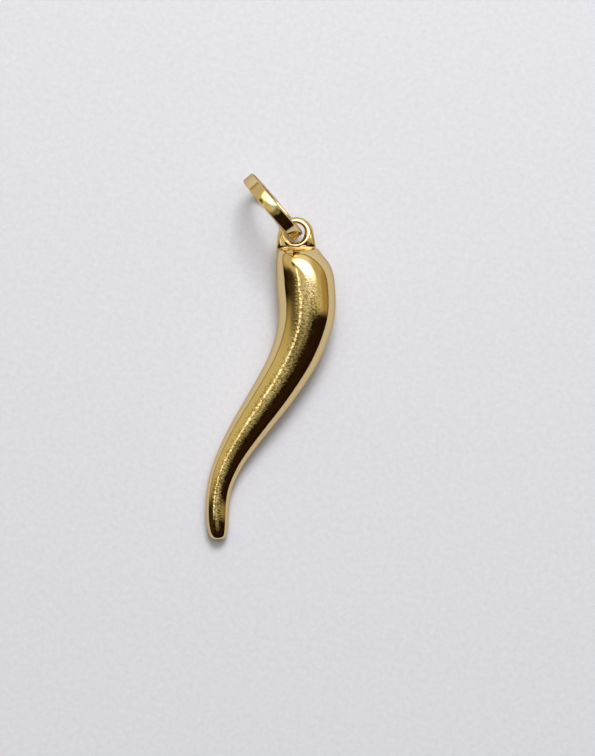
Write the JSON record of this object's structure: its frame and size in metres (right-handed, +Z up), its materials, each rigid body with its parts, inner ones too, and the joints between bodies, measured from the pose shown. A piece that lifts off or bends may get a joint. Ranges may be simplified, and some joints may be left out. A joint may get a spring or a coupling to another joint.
{
  "type": "cornicello horn pendant",
  "caption": "S-curved, tapering horn charm with an eye at its thick end and a ring bail of flat strip through the eye, lying on its side.",
  "frame": {"origin": "centre of the base of the box around the whole pendant as it lies, on the surface that it lies on", "axes": "+Z up from the surface, +Y from the horn's tip towards its eye, +X across, to the side that the horn's thick part bows towards"},
  "size_m": [0.0092, 0.0276, 0.006],
  "materials": {
    "yellow_gold": "polished"
  },
  "bodies": {
    "root": {"horn": "yellow_gold", "bail": "yellow_gold"}
  },
  "joints": []
}
